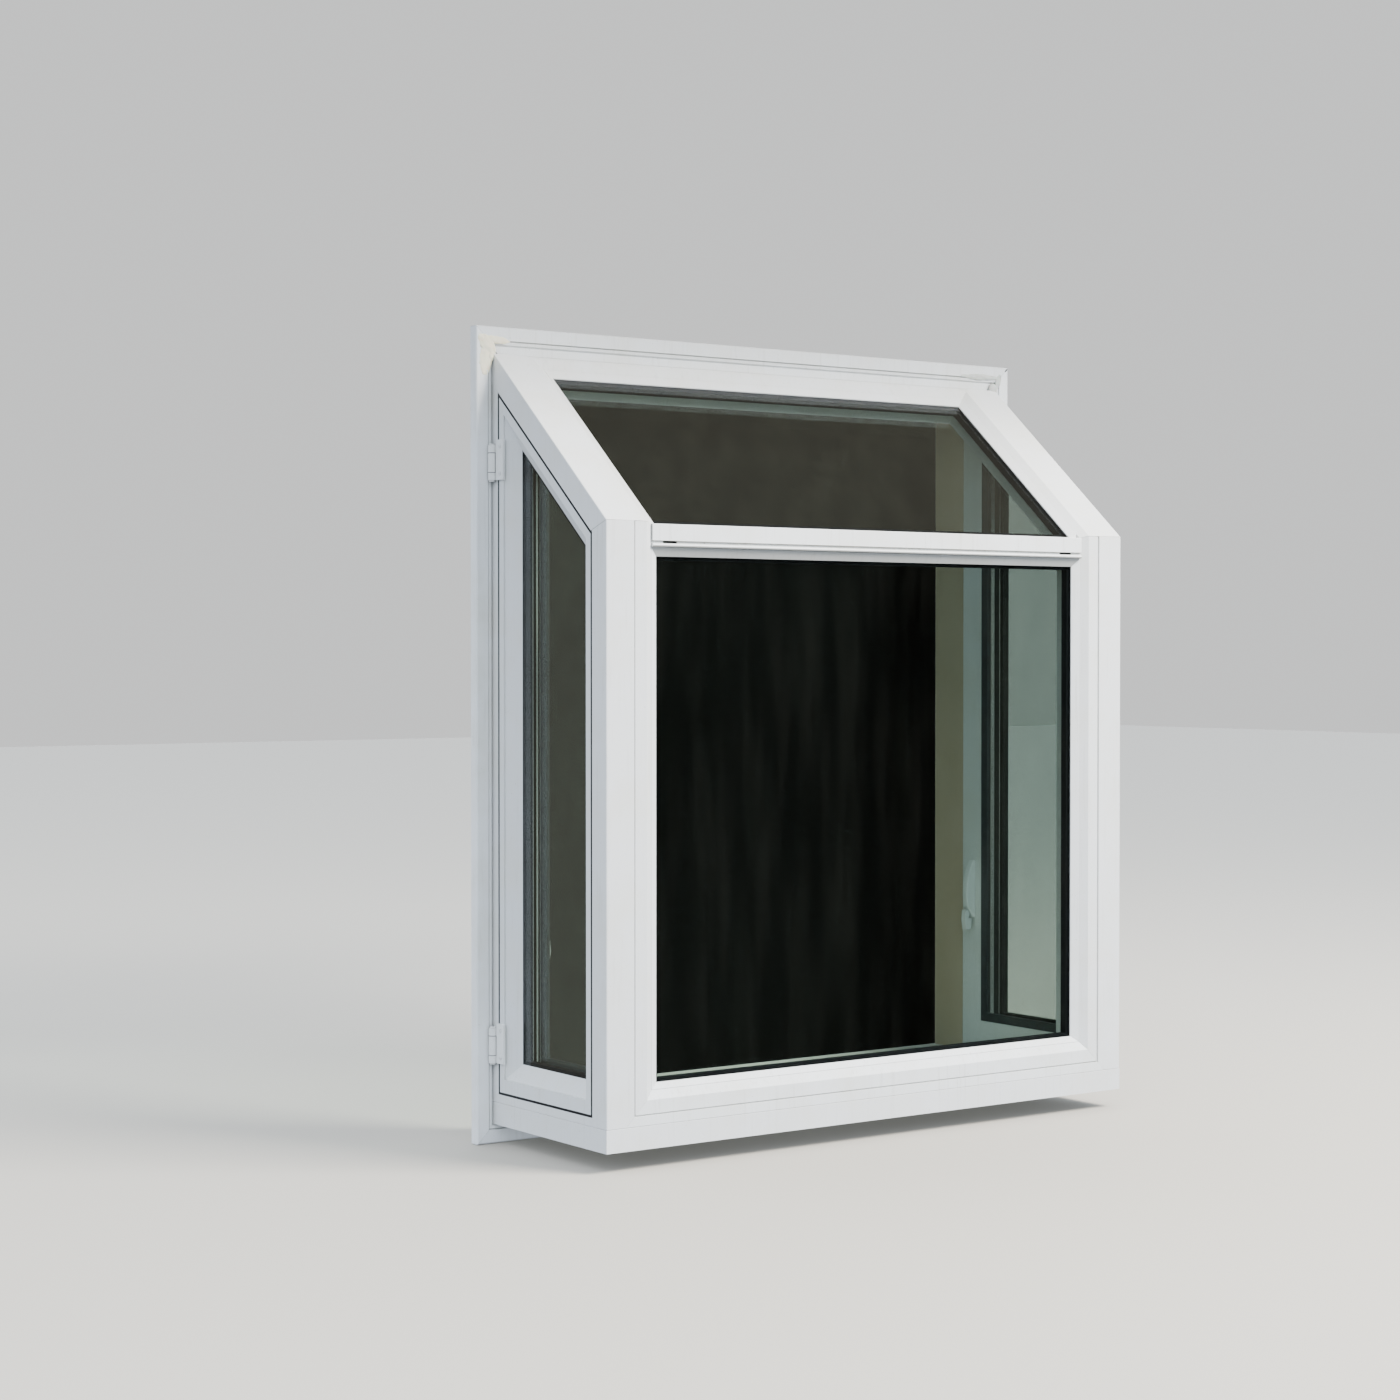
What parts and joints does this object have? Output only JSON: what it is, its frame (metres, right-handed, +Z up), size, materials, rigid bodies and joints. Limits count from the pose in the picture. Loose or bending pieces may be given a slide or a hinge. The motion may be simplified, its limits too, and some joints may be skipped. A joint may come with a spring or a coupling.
{
  "type": "garden window",
  "caption": "White vinyl garden window: a glazed box on a wall flange with a sloped glass roof, side sashes on surface hinges, insect screens, sash locks and a plant seat.",
  "frame": {"origin": "On the back of the wall flange, in mid width, level with the underside of the box.", "axes": "+X to the right as seen from outside, +Y into the wall, +Z up; the box stands out along -Y."},
  "size_m": [1.245, 0.455, 1.443],
  "materials": {
    "frame": "satin white vinyl",
    "glass": "clear",
    "spacer": "matte black",
    "screen": "matte charcoal paint",
    "hardware": "satin white paint",
    "seat": "painted off-white board",
    "lining": "painted beige board",
    "base": "matte white skin over foam"
  },
  "bodies": {
    "root": {"base_panel": "base", "corner_post_left": "frame", "corner_post_right": "frame", "eave_bar": "frame", "flange_head": "frame", "flange_left": "frame", "flange_right": "frame", "flange_sill": "frame", "front_glass": "glass", "front_inner_beads": "frame", "front_outer_beads": "frame", "front_rail": "frame", "glass_spacers": "spacer", "head_board": "lining", "head_rail": "frame", "hinge_frame_leaves_left": "hardware", "hinge_frame_leaves_right": "hardware", "hinge_sash_leaves_left": "hardware", "hinge_sash_leaves_right": "hardware", "insect_screens": "screen", "lever_left": "hardware", "lever_plate_left": "hardware", "lever_plate_right": "hardware", "lever_right": "hardware", "rafter_left": "frame", "rafter_right": "frame", "reveal_board_left": "lining", "reveal_board_right": "lining", "roof_glass": "glass", "roof_inner_beads": "frame", "roof_outer_beads": "frame", "sash_beads": "frame", "sash_glass_left": "glass", "sash_glass_right": "glass", "sash_left": "frame", "sash_right": "frame", "seat_board": "seat", "side_rail_left": "frame", "side_rail_right": "frame", "skirt_front": "frame", "skirt_left": "frame", "skirt_right": "frame", "wall_jamb_left": "frame", "wall_jamb_right": "frame"}
  },
  "joints": []
}
